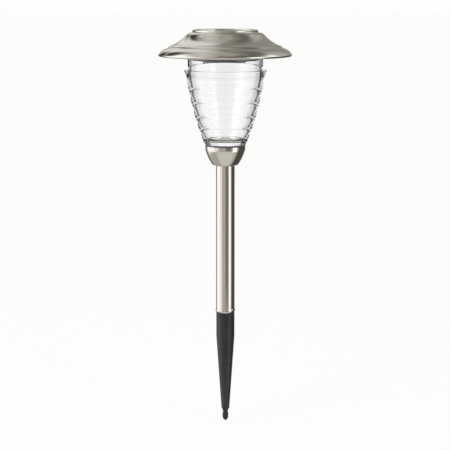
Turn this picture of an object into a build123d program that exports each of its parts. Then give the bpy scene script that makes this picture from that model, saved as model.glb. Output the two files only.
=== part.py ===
from build123d import *
import os
from math import cos, pi, radians, sin

# Solar garden light: a spun steel hat over a ribbed glass lens, on a steel tube with a
# plastic ground spike. Millimetres, +Z up. The origin is on the axis at ground level,
# where the foot of the tube rests on the shoulder of the spike.

os.makedirs("parts", exist_ok=True)

# ---------------------------------------------------------------- driving dimensions
SHEET = 0.6             # wall of the tube, the cup and the hat
FIT = 0.05              # radial play of a push fit
PLAY = 0.3              # radial play where two parts only pass each other

TUBE_R = 9.5            # 19 mm tube
TUBE_BORE_R = TUBE_R - SHEET
TUBE_L = 150.6
BEAD_OUT = 0.62         # how far the bead at the tube's foot stands out
BEAD_H = 3.5

SPIKE_R = 9.3
SPIKE_STRAIGHT = 25.5   # straight length below the shoulder
SPIKE_TIP_Z = -117.2
SPIGOT_L = 38.0         # what the tube slides over

CUP_Z = TUBE_L          # outside of the cup's bottom
CUP_R = 20.33
CUP_LIP_Z = 170.1
GASKET_T = 1.5

LENS_FOOT_Z = 166.8     # underside of the glass, inside the cup
LENS_FLOOR_Z = 176.5    # upper face of the thick glass floor
LENS_TOP_Z = 262.0
NECK_R = 37.4
NECK_BORE_R = 34.5
FLANGE_R = 41.15
FLANGE_Z = 245.0        # top of the glass flange
FLANGE_H = 3.3

CASE_R = 34.0           # case of the works, which plugs into the glass neck
CASE_WALL = 3.2
CASE_Z = 254.2          # underside of the case
CASE_FLOOR = 2.0
CASE_TOP_Z = 275.1
STOP_R = 37.2           # flange that rests on the glass
STOP_H = 2.0

TRAY_T = 3.0            # plate under the hat's ledge
LEDGE_Z = 279.3         # top of the ledge inside the hat
LEDGE_R = 28.6
BEZEL_TOP_Z = 280.6
HAT_TOP_Z = 284.2
HAT_R = 66.5            # where the band meets the rolled edge
HAT_FOOT_Z = 258.2

PANEL = 38.0            # side of the square solar panel
CELL_R = 7.1            # two-thirds AA cell
CELL_L = 28.7
CELL_Z = 262.2
CELL_Y = -14.5
DOOR_Z = 252.3          # underside of the battery door
BOARD_Z = 266.0         # underside of the circuit board
BOARD_T = 1.2
LED_R = 2.5
WIRE_R = 0.55


# ---------------------------------------------------------------- ground spike
SPIGOT_R = 8.5
SPIGOT_BORE_R = 6.2
SPIGOT_CHAMFER_R = SPIGOT_R - 0.9
SPIGOT_CHAMFER_H = 1.2
BULB_TOP = (3.0, -112.0)
BULB_NECK = (2.65, -108.2)
TAPER_END = (4.05, -103.4)
BORE_END = (1.6, -60.0)
RIB_W = 1.6
RIB_R = TUBE_BORE_R - FIT - 0.02

with BuildPart() as spike:
    with BuildSketch(Plane.XZ):
        with BuildLine():
            tip = ThreePointArc((0, SPIKE_TIP_Z), (1.9, SPIKE_TIP_Z + 1.5), BULB_TOP)
            bulb = ThreePointArc(tip @ 1, (3.05, -110.6), BULB_NECK)
            neck = ThreePointArc(bulb @ 1, (2.95, -105.4), TAPER_END)
            Polyline(
                neck @ 1,
                (SPIKE_R, -SPIKE_STRAIGHT),
                (SPIKE_R, 0),
                (SPIGOT_R, 0),
                (SPIGOT_R, SPIGOT_L - SPIGOT_CHAMFER_H),
                (SPIGOT_CHAMFER_R, SPIGOT_L),
                (SPIGOT_BORE_R, SPIGOT_L),
                BORE_END,
                (0, BORE_END[1] - 1),
                (0, SPIKE_TIP_Z),
            )
        make_face()
    revolve(axis=Axis.Z)
    with Locations((0, 0, SPIGOT_L / 2)):
        with PolarLocations(RIB_R - 0.5, 4):
            Box(1.0, RIB_W, SPIGOT_L - 6)
spike.part.label = "spike"
export_step(spike.part, "parts/spike.step")

# ---------------------------------------------------------------- tube
with BuildPart() as pole:
    with BuildSketch(Plane.XZ):
        with BuildLine():
            outside = ThreePointArc(
                (TUBE_R + 0.05, 0), (TUBE_R + BEAD_OUT, BEAD_H / 2), (TUBE_R, BEAD_H)
            )
            inside = ThreePointArc(
                (TUBE_BORE_R, BEAD_H),
                (TUBE_BORE_R + BEAD_OUT, BEAD_H / 2),
                (TUBE_BORE_R + 0.05, 0),
            )
            Polyline(outside @ 1, (TUBE_R, TUBE_L), (TUBE_BORE_R, TUBE_L), inside @ 0)
            Line(inside @ 1, outside @ 0)
        make_face()
    revolve(axis=Axis.Z)
pole.part.label = "pole"
export_step(pole.part, "parts/pole.step")

# ---------------------------------------------------------------- steel cup under the glass
CUP_FLAT_R = 11.4        # flat of the cup's bottom
CUP_TURN = (13.9, 151.95)
CUP_SIDE = (20.0, 165.2)
CUP_RIM_Z = 168.0

with BuildPart() as base_cup:
    with BuildSketch(Plane.XZ):
        with BuildLine():
            bottom = Line((TUBE_BORE_R + 0.1, CUP_Z), (CUP_FLAT_R, CUP_Z))
            turn = TangentArc(bottom @ 1, CUP_TURN, tangent=bottom % 1)
            side = TangentArc(turn @ 1, CUP_SIDE, tangent=turn % 1)
            rim = TangentArc(side @ 1, (CUP_R, CUP_RIM_Z), tangent=side % 1)
            Line(rim @ 1, (CUP_R, CUP_LIP_Z))
            offset(amount=SHEET, side=Side.LEFT)
        make_face()
    revolve(axis=Axis.Z)
base_cup.part.label = "base_cup"
export_step(base_cup.part, "parts/base_cup.step")

# ---------------------------------------------------------------- plastic socket inside the cup
SOCKET_TOP_Z = LENS_FOOT_Z - 0.4
STUB_L = 36.0

with BuildPart() as pole_socket:
    with BuildSketch(Plane.XZ):
        with BuildLine():
            Polyline(
                (SPIGOT_BORE_R, CUP_Z - STUB_L),
                (SPIGOT_CHAMFER_R, CUP_Z - STUB_L),
                (SPIGOT_R, CUP_Z - STUB_L + SPIGOT_CHAMFER_H),
                (SPIGOT_R, CUP_Z + SHEET),
                (11.2, CUP_Z + SHEET),
                (13.2, CUP_Z + 3.2),
                (16.6, 159.4),
                (18.9, 165.6),
                (18.9, SOCKET_TOP_Z),
                (0, SOCKET_TOP_Z),
                (0, SOCKET_TOP_Z - 3.0),
                (SPIGOT_BORE_R, SOCKET_TOP_Z - 3.0),
                close=True,
            )
        make_face()
    revolve(axis=Axis.Z)
    with Locations((0, 0, CUP_Z - STUB_L / 2)):
        with PolarLocations(RIB_R - 0.5, 4, start_angle=45):
            Box(1.0, RIB_W, STUB_L - 6)
pole_socket.part.label = "pole_socket"
export_step(pole_socket.part, "parts/pole_socket.step")

with BuildPart() as lens_bond:
    with BuildSketch(Plane.XY.offset(SOCKET_TOP_Z)):
        Circle(17.0)
        Circle(9.0, mode=Mode.SUBTRACT)
    extrude(amount=LENS_FOOT_Z - SOCKET_TOP_Z)
lens_bond.part.label = "lens_bond"
export_step(lens_bond.part, "parts/lens_bond.step")

with BuildPart() as cup_gasket:
    with BuildSketch(Plane.XY.offset(CUP_LIP_Z)):
        Circle(CUP_R - 0.3)
        Circle(19.35, mode=Mode.SUBTRACT)
    extrude(amount=GASKET_T)
cup_gasket.part.label = "cup_gasket"
export_step(cup_gasket.part, "parts/cup_gasket.step")

# ---------------------------------------------------------------- ribbed glass lens
# The outside swells a little at each of five rings and draws in between them. The upper
# four rings also stand slightly into the smooth hollow. Radius and height, going up.
SLEEVE_R = 19.2         # the part of the glass that stands in the cup
SWELLS = [(23.05, 177.0), (26.9, 187.8), (30.35, 198.9), (33.95, 212.8), (36.85, 226.7)]
WAISTS = [(24.55, 182.4), (28.2, 193.4), (31.8, 205.8), (35.0, 219.8), (37.8, 234.0)]
FOOT = (20.9, 172.2)
HOLLOW = [(NECK_BORE_R, 243.2), (29.5, 213.0), (20.0, 180.0)]
RINGS = [(22.65, 187.8), (26.0, 198.9), (29.45, 212.8), (32.2, 226.7)]
RING_ROUND = 1.7
RING_OUT = 0.4

with BuildPart() as lens:
    with BuildSketch(Plane.XZ):
        with BuildLine():
            seat_z = CUP_LIP_Z + GASKET_T
            Polyline(
                (0, LENS_FOOT_Z),
                (SLEEVE_R - 0.4, LENS_FOOT_Z),
                (SLEEVE_R, LENS_FOOT_Z + 0.4),
                (SLEEVE_R, seat_z),
                (CUP_R - 0.1, seat_z),
                FOOT,
            )
            wall = [FOOT]
            for swell, waist in zip(SWELLS, WAISTS):
                wall += [swell, waist]
            cone = Spline(*wall, tangents=[(0.4, 1), (0.12, 1)])
            flare = TangentArc(
                cone @ 1, (FLANGE_R - 0.6, FLANGE_Z - FLANGE_H), tangent=cone % 1
            )
            Polyline(
                flare @ 1,
                (FLANGE_R, FLANGE_Z - FLANGE_H + 1.0),
                (FLANGE_R, FLANGE_Z - 0.3),
                (FLANGE_R - 0.3, FLANGE_Z),
                (NECK_R, FLANGE_Z),
                (NECK_R, LENS_TOP_Z),
                (NECK_BORE_R, LENS_TOP_Z),
                HOLLOW[0],
            )
            hollow = ThreePointArc(*HOLLOW)
            corner = TangentArc(hollow @ 1, (16.6, LENS_FLOOR_Z), tangent=hollow % 1)
            Polyline(corner @ 1, (0, LENS_FLOOR_Z), (0, LENS_FOOT_Z))
        make_face()
    revolve(axis=Axis.Z)
    for ring_r, ring_z in RINGS:
        with Locations((0, 0, ring_z)):
            Torus(ring_r + RING_ROUND - RING_OUT, RING_ROUND)
lens.part.label = "lens"
export_step(lens.part, "parts/lens.step")

# ---------------------------------------------------------------- spun steel hat
LEDGE_CORNER_R = 0.6
BEAD_R = 1.35
WELL_R = 30.1           # wall of the well that holds the panel

HAT_ROOT = (33.9, 281.65)       # foot of the bead
HAT_SHOULDER = (38.8, 279.2)
HAT_FLARE = (53.4, 269.5)
HAT_EDGE = (56.2, 267.75)
HAT_STEP = (57.5, 266.95)       # top of the band
HAT_BAND_Z = 260.4
HAT_ROLL = (64.9, HAT_FOOT_Z)
HAT_LIP = (63.7, HAT_FOOT_Z + 0.9)

with BuildPart() as shade:
    with BuildSketch(Plane.XZ):
        with BuildLine():
            ledge = Line((LEDGE_R, LEDGE_Z), (WELL_R - LEDGE_CORNER_R, LEDGE_Z))
            corner = TangentArc(
                ledge @ 1, (WELL_R, LEDGE_Z + LEDGE_CORNER_R), tangent=ledge % 1
            )
            well = Line(corner @ 1, (WELL_R, HAT_TOP_Z - BEAD_R))
            bead = ThreePointArc(
                well @ 1,
                (WELL_R + BEAD_R, HAT_TOP_Z),
                (WELL_R + 2 * BEAD_R, HAT_TOP_Z - BEAD_R),
            )
            root = TangentArc(bead @ 1, HAT_ROOT, tangent=bead % 1)
            shoulder = TangentArc(root @ 1, HAT_SHOULDER, tangent=root % 1)
            flare = TangentArc(shoulder @ 1, HAT_FLARE, tangent=shoulder % 1)
            edge = TangentArc(flare @ 1, HAT_EDGE, tangent=flare % 1)
            step = TangentArc(edge @ 1, HAT_STEP, tangent=edge % 1)
            band = TangentArc(step @ 1, (HAT_R, HAT_BAND_Z), tangent=step % 1)
            roll = TangentArc(band @ 1, HAT_ROLL, tangent=band % 1)
            TangentArc(roll @ 1, HAT_LIP, tangent=roll % 1)
            offset(amount=SHEET, side=Side.RIGHT)
        make_face()
    revolve(axis=Axis.Z)
shade.part.label = "shade"
export_step(shade.part, "parts/shade.step")

# ---------------------------------------------------------------- plate and bezel that clamp the hat
BEZEL_R = 29.5
PEG_RING_R = 24.0
PEG_ANGLES = (0, 90, 180, 250)
PEG_R = 1.4
PEG_HEAD_R = 2.1
PEG_HEAD_H = 0.8
POST_R = 3.0            # posts that the case is screwed to
POST_RING_R = 27.3
POST_ANGLES = (30, 150, 270)
SCREW_R = 1.3
POST_FOOT_Z = 262.0
TRAY_TOP_Z = CASE_TOP_Z + TRAY_T
PANEL_Z = LEDGE_Z - 1.9
WIRE_HOLE = (-8, 6)

with BuildPart() as panel_bezel:
    with BuildSketch(Plane.XY.offset(LEDGE_Z)):
        Circle(BEZEL_R)
        Rectangle(PANEL - 2, PANEL - 2, mode=Mode.SUBTRACT)
    extrude(amount=BEZEL_TOP_Z - LEDGE_Z)
    top_edges = panel_bezel.edges().group_by(Axis.Z)[-1]
    chamfer(top_edges, length=0.5)
    with BuildSketch(Plane.XY.offset(LEDGE_Z)):
        for angle in PEG_ANGLES:
            with PolarLocations(PEG_RING_R, 1, start_angle=angle):
                Circle(PEG_R)
    extrude(amount=CASE_TOP_Z - LEDGE_Z)
    with BuildSketch(Plane.XY.offset(CASE_TOP_Z)):
        for angle in PEG_ANGLES:
            with PolarLocations(PEG_RING_R, 1, start_angle=angle):
                Circle(PEG_HEAD_R)
    extrude(amount=-PEG_HEAD_H)
panel_bezel.part.label = "panel_bezel"
export_step(panel_bezel.part, "parts/panel_bezel.step")

with BuildPart() as panel_gasket:
    with BuildSketch(Plane.XY.offset(TRAY_TOP_Z)):
        Circle(31.0)
        Circle(28.9, mode=Mode.SUBTRACT)
    extrude(amount=LEDGE_Z - SHEET - TRAY_TOP_Z)
panel_gasket.part.label = "panel_gasket"
export_step(panel_gasket.part, "parts/panel_gasket.step")

with BuildPart() as panel_tray:
    with BuildSketch(Plane.XY.offset(CASE_TOP_Z)):
        Circle(CASE_R)
    extrude(amount=TRAY_T)
    with BuildSketch(Plane.XY.offset(TRAY_TOP_Z)):
        Circle(LEDGE_R - PLAY)
    extrude(amount=LEDGE_Z - TRAY_TOP_Z)
    with BuildSketch(Plane.XY.offset(PANEL_Z)):
        Rectangle(PANEL + 0.2, PANEL + 0.2)
    extrude(amount=LEDGE_Z - PANEL_Z, mode=Mode.SUBTRACT)
    with BuildSketch(Plane.XY.offset(CASE_TOP_Z)):
        for angle in PEG_ANGLES:
            with PolarLocations(PEG_RING_R, 1, start_angle=angle):
                Circle(PEG_R)
        with Locations(WIRE_HOLE):
            SlotCenterToCenter(4, 3)
    extrude(amount=LEDGE_Z - CASE_TOP_Z, mode=Mode.SUBTRACT)
    with BuildSketch(Plane.XY.offset(POST_FOOT_Z)):
        for angle in POST_ANGLES:
            with PolarLocations(POST_RING_R, 1, start_angle=angle):
                Circle(POST_R)
    extrude(amount=CASE_TOP_Z - POST_FOOT_Z)
    with BuildSketch(Plane.XY.offset(POST_FOOT_Z)):
        for angle in POST_ANGLES:
            with PolarLocations(POST_RING_R, 1, start_angle=angle):
                Circle(SCREW_R)
    extrude(amount=12, mode=Mode.SUBTRACT)
panel_tray.part.label = "panel_tray"
export_step(panel_tray.part, "parts/panel_tray.step")

# ---------------------------------------------------------------- solar panel
BACK_T = 0.8
STRIP_T = 0.3
STRIP_W = 8.6
STRIP_L = 35.6
STRIPS = 4
STRIP_PITCH = 9.1
BACK_TOP_Z = PANEL_Z + BACK_T

with BuildPart() as solar_backboard:
    with BuildSketch(Plane.XY.offset(PANEL_Z)):
        Rectangle(PANEL, PANEL)
    extrude(amount=BACK_T)
solar_backboard.part.label = "solar_backboard"
export_step(solar_backboard.part, "parts/solar_backboard.step")

with BuildPart() as solar_cells:
    with BuildSketch(Plane.XY.offset(BACK_TOP_Z)):
        with GridLocations(STRIP_PITCH, 0, STRIPS, 1):
            Rectangle(STRIP_W, STRIP_L)
    extrude(amount=STRIP_T)
solar_cells.part.label = "solar_cells"
export_step(solar_cells.part, "parts/solar_cells.step")

with BuildPart() as panel_cover:
    with BuildSketch(Plane.XY.offset(BACK_TOP_Z)):
        Rectangle(PANEL, PANEL)
    extrude(amount=LEDGE_Z - BACK_TOP_Z)
    with BuildSketch(Plane.XY.offset(BACK_TOP_Z)):
        with GridLocations(STRIP_PITCH, 0, STRIPS, 1):
            Rectangle(STRIP_W, STRIP_L)
    extrude(amount=STRIP_T, mode=Mode.SUBTRACT)
panel_cover.part.label = "panel_cover"
export_step(panel_cover.part, "parts/panel_cover.step")

# ---------------------------------------------------------------- case of the works
FLOOR_TOP_Z = CASE_Z + CASE_FLOOR
BOX_WALL = 1.2
BOX_HALF_L = 17.0
BOX_HALF_W = CELL_R + 0.6
BOX_TOP_Z = CELL_Z + CELL_R + 0.6
SEAL_Z = 259.4
SEAL_WIRE_R = 1.0
SEAL_R = 33.35
HEAD_R = 2.75
HEAD_H = 1.4
SINK_R = 3.1
SINK_H = 1.6
BOSS_R = 4.0
LED_SEAT_Z = CASE_Z + 3.9
SWITCH_Y = 24.0
SWITCH_SLOT = (8.0, 3.4)
SWITCH_EAR_X = 7.6
STANDOFFS = [(-10.5, 14.5), (10.5, 14.5)]
HINGE_X = -19.9
HINGE_Z = 252.9
HINGE_R = 1.5
PIN_R = 0.75
LUG_Y = [CELL_Y - 7.0, CELL_Y + 7.0]
LUG_W = 2.2
LATCH_X = 19.5
TAB_SLOT_Y = CELL_Y - 2.0

with BuildPart() as case:
    with BuildSketch(Plane.XZ):
        with BuildLine():
            Polyline(
                (0, CASE_Z),
                (CASE_R - 0.8, CASE_Z),
                (CASE_R, CASE_Z + 0.8),
                (CASE_R, SEAL_Z - SEAL_WIRE_R),
                (SEAL_R - SEAL_WIRE_R, SEAL_Z - SEAL_WIRE_R),
                (SEAL_R - SEAL_WIRE_R, SEAL_Z + SEAL_WIRE_R),
                (CASE_R, SEAL_Z + SEAL_WIRE_R),
                (CASE_R, LENS_TOP_Z),
                (STOP_R, LENS_TOP_Z),
                (STOP_R, LENS_TOP_Z + STOP_H),
                (CASE_R, LENS_TOP_Z + STOP_H),
                (CASE_R, CASE_TOP_Z),
                (CASE_R - CASE_WALL, CASE_TOP_Z),
                (CASE_R - CASE_WALL, FLOOR_TOP_Z),
                (0, FLOOR_TOP_Z),
                close=True,
            )
        make_face()
    revolve(axis=Axis.Z)
    # box round the cell, closed at the top and open at the bottom
    with BuildSketch(Plane.XY.offset(CASE_Z)):
        with Locations((0, CELL_Y)):
            Rectangle(2 * (BOX_HALF_L + BOX_WALL), 2 * (BOX_HALF_W + BOX_WALL))
    extrude(amount=BOX_TOP_Z + BOX_WALL - CASE_Z)
    # bosses for the case screws, standoffs for the board, collar round the lamp
    with BuildSketch(Plane.XY.offset(FLOOR_TOP_Z)):
        for angle in POST_ANGLES:
            with PolarLocations(POST_RING_R, 1, start_angle=angle):
                Circle(BOSS_R)
    extrude(amount=POST_FOOT_Z - FLOOR_TOP_Z)
    with BuildSketch(Plane.XY.offset(FLOOR_TOP_Z)):
        with Locations(*STANDOFFS):
            Circle(2.2)
    extrude(amount=BOARD_Z - FLOOR_TOP_Z)
    with BuildSketch(Plane.XY.offset(FLOOR_TOP_Z)):
        Circle(4.0)
    extrude(amount=LED_SEAT_Z - FLOOR_TOP_Z)
    # screw ears of the switch stand on two pads
    with BuildSketch(Plane.XY.offset(FLOOR_TOP_Z)):
        with Locations((-SWITCH_EAR_X, SWITCH_Y), (SWITCH_EAR_X, SWITCH_Y)):
            Circle(1.8)
    extrude(amount=1.6)
    # inside of the cell box
    with BuildSketch(Plane.XY.offset(CASE_Z)):
        with Locations((0, CELL_Y)):
            Rectangle(2 * BOX_HALF_L, 2 * BOX_HALF_W)
    extrude(amount=BOX_TOP_Z - CASE_Z, mode=Mode.SUBTRACT)
    # slots in the box's roof for the contacts' tabs, and in the floor for the switch and the latch
    with BuildSketch(Plane.XY.offset(BOX_TOP_Z)):
        with Locations((-BOX_HALF_L + 0.4, CELL_Y + 4), (BOX_HALF_L - 0.4, CELL_Y + 4)):
            Rectangle(1.0, 3.2)
    extrude(amount=BOX_WALL, mode=Mode.SUBTRACT)
    with BuildSketch(Plane.XY.offset(CASE_Z)):
        with Locations((0, SWITCH_Y)):
            Rectangle(*SWITCH_SLOT)
        with Locations((LATCH_X, TAB_SLOT_Y)):
            Rectangle(2.2, 5.2)
        Circle(LED_R + 0.2)
        for angle in POST_ANGLES:
            with PolarLocations(POST_RING_R, 1, start_angle=angle):
                Circle(SCREW_R + PLAY)
    extrude(amount=POST_FOOT_Z - CASE_Z, mode=Mode.SUBTRACT)
    with BuildSketch(Plane.XY.offset(CASE_Z)):
        for angle in POST_ANGLES:
            with PolarLocations(POST_RING_R, 1, start_angle=angle):
                Circle(SINK_R)
    extrude(amount=SINK_H, mode=Mode.SUBTRACT)
    with BuildSketch(Plane.XY.offset(BOARD_Z)):
        with Locations(*STANDOFFS):
            Circle(0.8)
    extrude(amount=-6, mode=Mode.SUBTRACT)
    with BuildSketch(Plane.XY.offset(FLOOR_TOP_Z + 1.6)):
        with Locations((-SWITCH_EAR_X, SWITCH_Y), (SWITCH_EAR_X, SWITCH_Y)):
            Circle(0.7)
    extrude(amount=-2.6, mode=Mode.SUBTRACT)
    # relief over the door's knuckle, and two lugs that hold the hinge pin
    with BuildSketch(Plane.XZ.offset(-CELL_Y)):
        with Locations((HINGE_X, HINGE_Z)):
            Circle(HINGE_R + 0.15)
    extrude(amount=LUG_Y[1] - CELL_Y - LUG_W / 2, both=True, mode=Mode.SUBTRACT)
    for y in LUG_Y:
        with BuildSketch(Plane.XZ.offset(-y)):
            with Locations((HINGE_X, HINGE_Z)):
                Circle(HINGE_R)
            with Locations((HINGE_X, (HINGE_Z + CASE_Z) / 2)):
                Rectangle(2 * HINGE_R, CASE_Z - HINGE_Z)
        extrude(amount=LUG_W / 2, both=True)
    with BuildSketch(Plane.XZ.offset(-CELL_Y)):
        with Locations((HINGE_X, HINGE_Z)):
            Circle(PIN_R)
    extrude(amount=LUG_Y[1] - LUG_Y[0], both=True, mode=Mode.SUBTRACT)
case.part.label = "case"
export_step(case.part, "parts/case.step")

with BuildPart() as case_screws:
    with BuildSketch(Plane.XY.offset(CASE_Z + SINK_H)):
        for angle in POST_ANGLES:
            with PolarLocations(POST_RING_R, 1, start_angle=angle):
                Circle(HEAD_R)
    extrude(amount=-HEAD_H)
    with BuildSketch(Plane.XY.offset(CASE_Z + SINK_H - HEAD_H)):
        for angle in POST_ANGLES:
            with PolarLocations(POST_RING_R, 1, start_angle=angle):
                Rectangle(3.0, 0.7)
                Rectangle(0.7, 3.0)
    extrude(amount=0.8, mode=Mode.SUBTRACT)
    with BuildSketch(Plane.XY.offset(CASE_Z + SINK_H)):
        for angle in POST_ANGLES:
            with PolarLocations(POST_RING_R, 1, start_angle=angle):
                Circle(SCREW_R)
    extrude(amount=15.5)
case_screws.part.label = "case_screws"
export_step(case_screws.part, "parts/case_screws.step")

with BuildPart() as seal_ring:
    with BuildSketch(Plane.XZ):
        with Locations((SEAL_R, SEAL_Z)):
            Circle(SEAL_WIRE_R - 0.02)
    revolve(axis=Axis.Z)
seal_ring.part.label = "seal_ring"
export_step(seal_ring.part, "parts/seal_ring.step")

# ---------------------------------------------------------------- battery door, its pin
DOOR_TOP_Z = CASE_Z - 0.1
DOOR_HALF_L = 18.4
DOOR_HALF_W = 8.4
KNUCKLE_HALF_W = LUG_Y[1] - CELL_Y - LUG_W / 2 - 0.3

with BuildPart() as battery_door:
    with BuildSketch(Plane.XY.offset(DOOR_Z)):
        with Locations((0.4, CELL_Y)):
            RectangleRounded(2 * DOOR_HALF_L + 0.4, 2 * DOOR_HALF_W, 1.2)
    extrude(amount=DOOR_TOP_Z - DOOR_Z)
    chamfer(battery_door.edges().group_by(Axis.Z)[0], length=0.35)
    # knuckle round the pin
    with BuildSketch(Plane.XZ.offset(-CELL_Y)):
        with Locations((HINGE_X, HINGE_Z)):
            Circle(HINGE_R - 0.1)
        with Locations(((HINGE_X - DOOR_HALF_L + 0.4) / 2, (DOOR_Z + DOOR_TOP_Z) / 2)):
            Rectangle(-HINGE_X - DOOR_HALF_L + 0.4, 1.2)
    extrude(amount=KNUCKLE_HALF_W, both=True)
    with BuildSketch(Plane.XZ.offset(-CELL_Y)):
        with Locations((HINGE_X, HINGE_Z)):
            Circle(PIN_R + FIT)
    extrude(amount=KNUCKLE_HALF_W, both=True, mode=Mode.SUBTRACT)
    # latch tab, and a thumb groove in the face
    with BuildSketch(Plane.XY.offset(DOOR_Z + 0.4)):
        with Locations((LATCH_X - 0.1, TAB_SLOT_Y)):
            Rectangle(1.2, 4.4)
    extrude(amount=4.2)
    with BuildSketch(Plane.XY.offset(DOOR_Z)):
        with GridLocations(1.6, 0, 4, 1):
            with Locations((15.5, CELL_Y)):
                Rectangle(0.7, 8.0)
    extrude(amount=0.5, mode=Mode.SUBTRACT)
battery_door.part.label = "battery_door"
export_step(battery_door.part, "parts/battery_door.step")

with BuildPart() as hinge_pin:
    with BuildSketch(Plane.XZ.offset(-CELL_Y)):
        with Locations((HINGE_X, HINGE_Z)):
            Circle(PIN_R)
    extrude(amount=LUG_Y[1] - CELL_Y + LUG_W / 2, both=True)
hinge_pin.part.label = "hinge_pin"
export_step(hinge_pin.part, "parts/hinge_pin.step")

# ---------------------------------------------------------------- cell and its contacts
CONTACT_T = 0.4
NUB_L = 1.3
NUB_R = 2.75
CELL_PLUS_X = BOX_HALF_L - CONTACT_T
CELL_MINUS_X = CELL_PLUS_X - CELL_L
TAB_TOP_Z = BOX_TOP_Z + BOX_WALL + 1.4
TAB_W = 2.6
TAB_Y = CELL_Y + 4
CONTACT_SIZE = (11.0, 12.0)

with BuildPart() as battery:
    with BuildSketch(Plane.YZ.offset(CELL_MINUS_X)):
        with Locations((CELL_Y, CELL_Z)):
            Circle(CELL_R)
    extrude(amount=CELL_L - NUB_L)
    chamfer(battery.edges().filter_by(GeomType.CIRCLE), length=0.4)
    with BuildSketch(Plane.YZ.offset(CELL_PLUS_X - NUB_L)):
        with Locations((CELL_Y, CELL_Z)):
            Circle(NUB_R)
    extrude(amount=NUB_L)
battery.part.label = "battery"
export_step(battery.part, "parts/battery.step")

with BuildPart() as battery_contact:
    with BuildSketch(Plane.YZ.offset(CELL_PLUS_X)):
        with Locations((CELL_Y, CELL_Z)):
            RectangleRounded(*CONTACT_SIZE, 1.0)
        with Locations((TAB_Y, (CELL_Z + TAB_TOP_Z) / 2)):
            Rectangle(TAB_W, TAB_TOP_Z - CELL_Z)
    extrude(amount=CONTACT_T)
battery_contact.part.label = "battery_contact"
export_step(battery_contact.part, "parts/battery_contact.step")

with BuildPart() as spring_plate:
    with BuildSketch(Plane.YZ.offset(-BOX_HALF_L)):
        with Locations((CELL_Y, CELL_Z)):
            RectangleRounded(*CONTACT_SIZE, 1.0)
        with Locations((TAB_Y, (CELL_Z + TAB_TOP_Z) / 2)):
            Rectangle(TAB_W, TAB_TOP_Z - CELL_Z)
    extrude(amount=CONTACT_T)
spring_plate.part.label = "spring_plate"
export_step(spring_plate.part, "parts/spring_plate.step")

SPRING_WIRE_R = 0.4
SPRING_R = 3.6
SPRING_TURNS = 3
SPRING_X = -BOX_HALF_L + CONTACT_T + SPRING_WIRE_R
SPRING_L = CELL_MINUS_X - SPRING_X - SPRING_WIRE_R

with BuildPart() as battery_spring:
    with BuildLine():
        coil = Helix(
            pitch=SPRING_L / SPRING_TURNS,
            height=SPRING_L,
            radius=SPRING_R,
            center=(SPRING_X, CELL_Y, CELL_Z),
            direction=(1, 0, 0),
        )
    with BuildSketch(Plane(origin=coil @ 0, z_dir=coil % 0)):
        Circle(SPRING_WIRE_R)
    sweep(path=coil, is_frenet=True)
battery_spring.part.label = "battery_spring"
export_step(battery_spring.part, "parts/battery_spring.step")

# ---------------------------------------------------------------- circuit board and what is on it
BOARD_TOP_Z = BOARD_Z + BOARD_T
BOARD_Y = 7.2
BOARD_SIZE = (26.0, 21.0)
LEAD_X = 1.27
LEAD_W = 0.5
INDUCTOR_AT = (6.5, 10.0)
CHIP_AT = (-6.0, 11.5)
CAPACITOR_AT = (0.5, 13.0)
DRUM_R = 3.0            # ends of the inductor's drum
DRUM_END_H = 0.9
WINDING_R = 2.5
WINDING_H = 2.8
CHIP_GAP = 1.2          # height of the chip above the board
SCREW_HEAD_H = 1.2

with BuildPart() as circuit_board:
    with BuildSketch(Plane.XY.offset(BOARD_Z)):
        with Locations((0, BOARD_Y)):
            RectangleRounded(*BOARD_SIZE, 1.0)
        with Locations(*STANDOFFS):
            Circle(0.9, mode=Mode.SUBTRACT)
        with Locations((-LEAD_X, 0), (LEAD_X, 0)):
            Circle(0.45, mode=Mode.SUBTRACT)
    extrude(amount=BOARD_T)
circuit_board.part.label = "circuit_board"
export_step(circuit_board.part, "parts/circuit_board.step")

with BuildPart() as board_screws:
    with BuildSketch(Plane.XY.offset(BOARD_TOP_Z)):
        with Locations(*STANDOFFS):
            Circle(1.7)
    extrude(amount=SCREW_HEAD_H)
    with BuildSketch(Plane.XY.offset(BOARD_TOP_Z + SCREW_HEAD_H)):
        with Locations(*STANDOFFS):
            Rectangle(2.2, 0.5)
            Rectangle(0.5, 2.2)
    extrude(amount=-0.6, mode=Mode.SUBTRACT)
    with BuildSketch(Plane.XY.offset(BOARD_TOP_Z)):
        with Locations(*STANDOFFS):
            Circle(0.8)
    extrude(amount=-6)
board_screws.part.label = "board_screws"
export_step(board_screws.part, "parts/board_screws.step")

with BuildPart() as inductor:
    with BuildSketch(Plane.XY.offset(BOARD_TOP_Z)):
        with Locations(INDUCTOR_AT):
            Circle(DRUM_R)
    extrude(amount=DRUM_END_H)
    with BuildSketch(Plane.XY.offset(BOARD_TOP_Z + DRUM_END_H)):
        with Locations(INDUCTOR_AT):
            Circle(WINDING_R)
    extrude(amount=WINDING_H)
    with BuildSketch(Plane.XY.offset(BOARD_TOP_Z + DRUM_END_H + WINDING_H)):
        with Locations(INDUCTOR_AT):
            Circle(DRUM_R)
    extrude(amount=DRUM_END_H)
inductor.part.label = "inductor"
export_step(inductor.part, "parts/inductor.step")

with BuildPart() as driver_chip:
    with BuildSketch(Plane.XY.offset(BOARD_TOP_Z + CHIP_GAP)):
        with Locations(CHIP_AT):
            Rectangle(4.8, 2.2)
    extrude(amount=3.2)
    chamfer(driver_chip.faces().sort_by(Axis.Y)[0].edges().filter_by(Axis.Z), length=0.9)
    with BuildSketch(Plane.XY.offset(BOARD_TOP_Z)):
        with Locations(CHIP_AT):
            with GridLocations(1.27, 0, 4, 1):
                Rectangle(0.45, 0.4)
    extrude(amount=CHIP_GAP)
driver_chip.part.label = "driver_chip"
export_step(driver_chip.part, "parts/driver_chip.step")

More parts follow.
